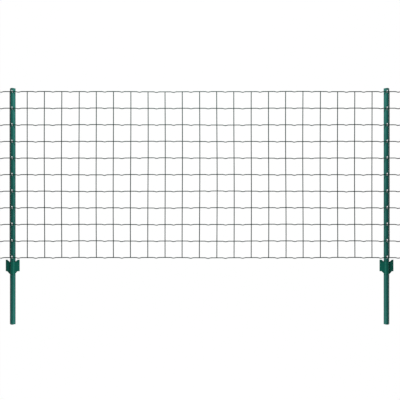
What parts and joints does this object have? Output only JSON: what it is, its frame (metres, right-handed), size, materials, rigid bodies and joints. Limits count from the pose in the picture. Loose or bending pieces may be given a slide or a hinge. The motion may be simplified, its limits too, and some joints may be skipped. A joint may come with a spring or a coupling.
{
  "type": "welded mesh fence bay",
  "caption": "Fence bay of crimped welded wire mesh hung in the hooks of two hat-section steel posts, each with a chevron anchor plate.",
  "frame": {"origin": "middle of the fence's length and height, on the level that the lying posts' back edges rest on", "axes": "+X along the fence, +Y towards its top edge, +Z out of the front, the side with the mesh and hooks"},
  "size_m": [2.506, 1.428, 0.0232],
  "materials": {
    "coated_wire": "satin",
    "powder_coated_steel": "satin"
  },
  "bodies": {
    "root": {"wire_mesh": "coated_wire", "left_post": "powder_coated_steel", "right_post": "powder_coated_steel", "left_anchor_plate": "powder_coated_steel", "right_anchor_plate": "powder_coated_steel"}
  },
  "joints": []
}
